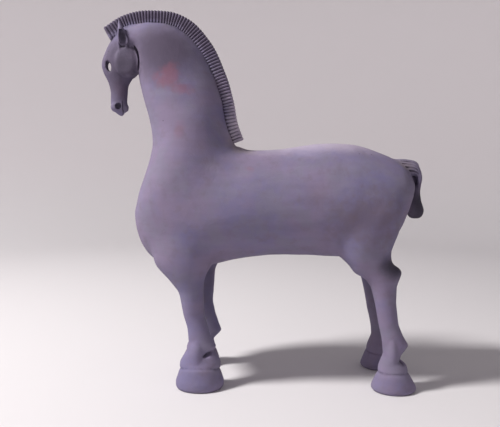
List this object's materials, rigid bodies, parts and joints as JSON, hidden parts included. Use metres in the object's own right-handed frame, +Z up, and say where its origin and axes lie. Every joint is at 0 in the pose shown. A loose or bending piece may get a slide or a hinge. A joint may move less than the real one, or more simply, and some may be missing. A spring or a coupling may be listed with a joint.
{
  "type": "ceramic horse statue",
  "caption": "Standing clay horse statue with a tall arched neck, upright ridged mane, pierced eyes and clubbed tail, in matte slate violet; a decorative figure that stands on its hooves.",
  "frame": {"origin": "on the floor under the middle of the statue's box", "axes": "+Z up, the horse faces -X, its left side is towards -Y"},
  "size_m": [0.3936, 0.1251, 0.4501],
  "materials": {
    "clay": "matte"
  },
  "bodies": {
    "root": {"horse": "clay"}
  },
  "joints": []
}
